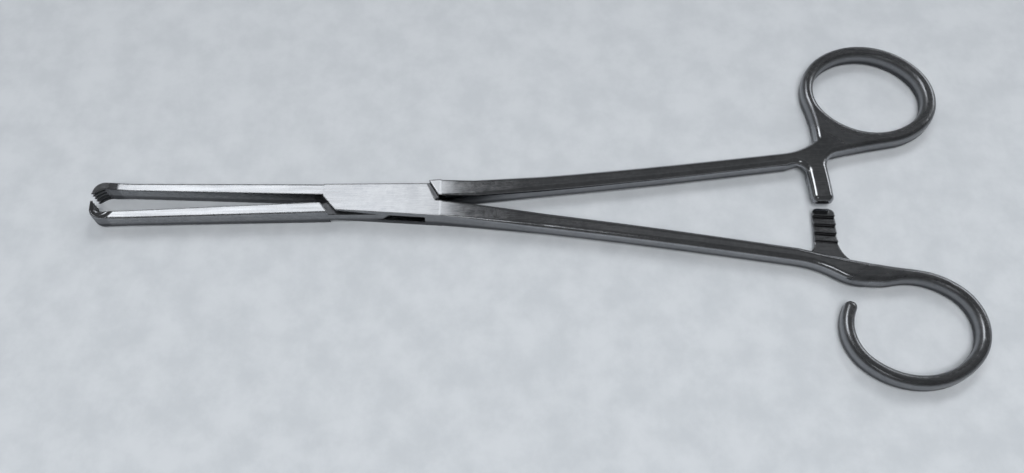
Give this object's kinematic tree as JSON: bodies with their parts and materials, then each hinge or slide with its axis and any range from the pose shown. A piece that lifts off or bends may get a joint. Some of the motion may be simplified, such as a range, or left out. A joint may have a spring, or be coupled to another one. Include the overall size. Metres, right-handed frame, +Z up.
{
  "type": "tonsil forceps",
  "caption": "Box-lock tonsil seizing forceps with clawed fan jaws, a finger ring, an open thumb ring and a two-arm ratchet.",
  "frame": {"origin": "where the axis of the lock pin meets the table, with the forceps lying flat", "axes": "+X from the lock towards the finger rings, with the clawed jaws towards -X; +Z up from the table; +Y towards the closed finger ring"},
  "size_m": [0.1981, 0.0881, 0.005],
  "materials": {
    "box_half_steel": "satin",
    "tongue_half_steel": "satin",
    "pin_steel": "ground flush"
  },
  "bodies": {
    "box_body": {"box_half": "box_half_steel", "lock_pin": "pin_steel"},
    "tongue_body": {"tongue_half": "tongue_half_steel"}
  },
  "joints": [
    {"name": "box_lock_hinge", "type": "hinge", "parent": "box_body", "child": "tongue_body", "pos_m": [0, 0, 0], "axis": [0, 0, 1], "range_deg": [-3.4, 40]}
  ]
}
